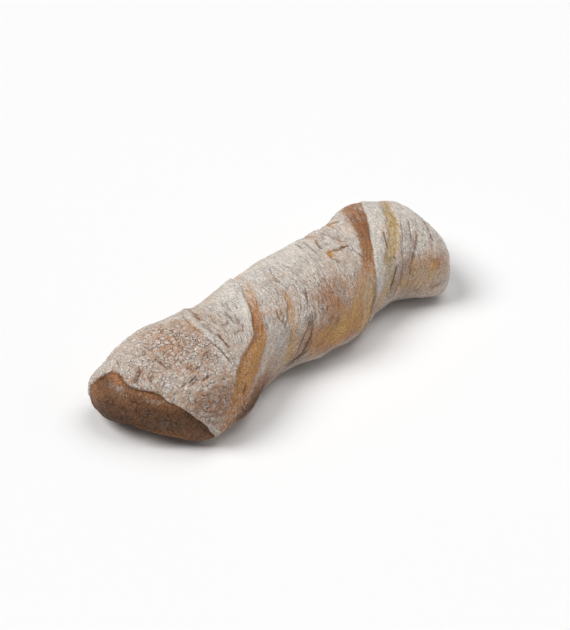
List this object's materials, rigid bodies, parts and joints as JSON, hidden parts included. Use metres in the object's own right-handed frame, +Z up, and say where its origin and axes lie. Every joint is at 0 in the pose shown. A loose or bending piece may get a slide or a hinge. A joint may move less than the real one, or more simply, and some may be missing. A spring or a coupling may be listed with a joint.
{
  "type": "mini baguette",
  "caption": "Short rustic twisted loaf with a floured crust, spiral folds, a cut brown end and a rounded end.",
  "frame": {"origin": "centre of the bounding box's bottom face, on the surface that the loaf lies on", "axes": "+X along the loaf from its cut end to its rounded end, +Y across it towards the back, +Z up"},
  "size_m": [0.2238, 0.074, 0.0459],
  "materials": {
    "crust": "dry matt baked crust under patchy flour, golden and red-brown where it is bare"
  },
  "bodies": {
    "root": {"loaf": "crust"}
  },
  "joints": []
}
